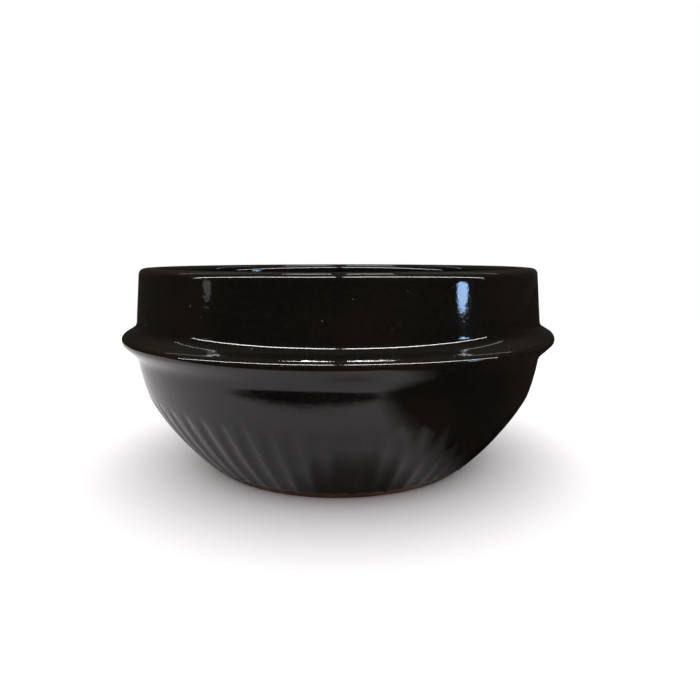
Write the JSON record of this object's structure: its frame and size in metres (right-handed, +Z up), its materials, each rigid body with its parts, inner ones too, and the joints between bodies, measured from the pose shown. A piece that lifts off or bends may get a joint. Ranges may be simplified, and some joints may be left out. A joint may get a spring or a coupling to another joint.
{
  "type": "glazed earthenware stew pot",
  "caption": "Round glazed earthenware stew pot with a straight collar, a wide flange round its waist, a fluted bowl below it and a flat bare foot.",
  "frame": {"origin": "centre of the base, on the plane the pot rests on", "axes": "+Z up along the pot's axis, the front of the pot faces -Y"},
  "size_m": [0.1816, 0.1816, 0.0826],
  "materials": {
    "fired_clay": "bare fired clay, matte and gritty",
    "black_glaze": "glossy opaque iron-black glaze with a faint orange peel"
  },
  "bodies": {
    "root": {"clay_body": "fired_clay", "outer_glaze": "black_glaze", "inner_glaze": "black_glaze"}
  },
  "joints": []
}
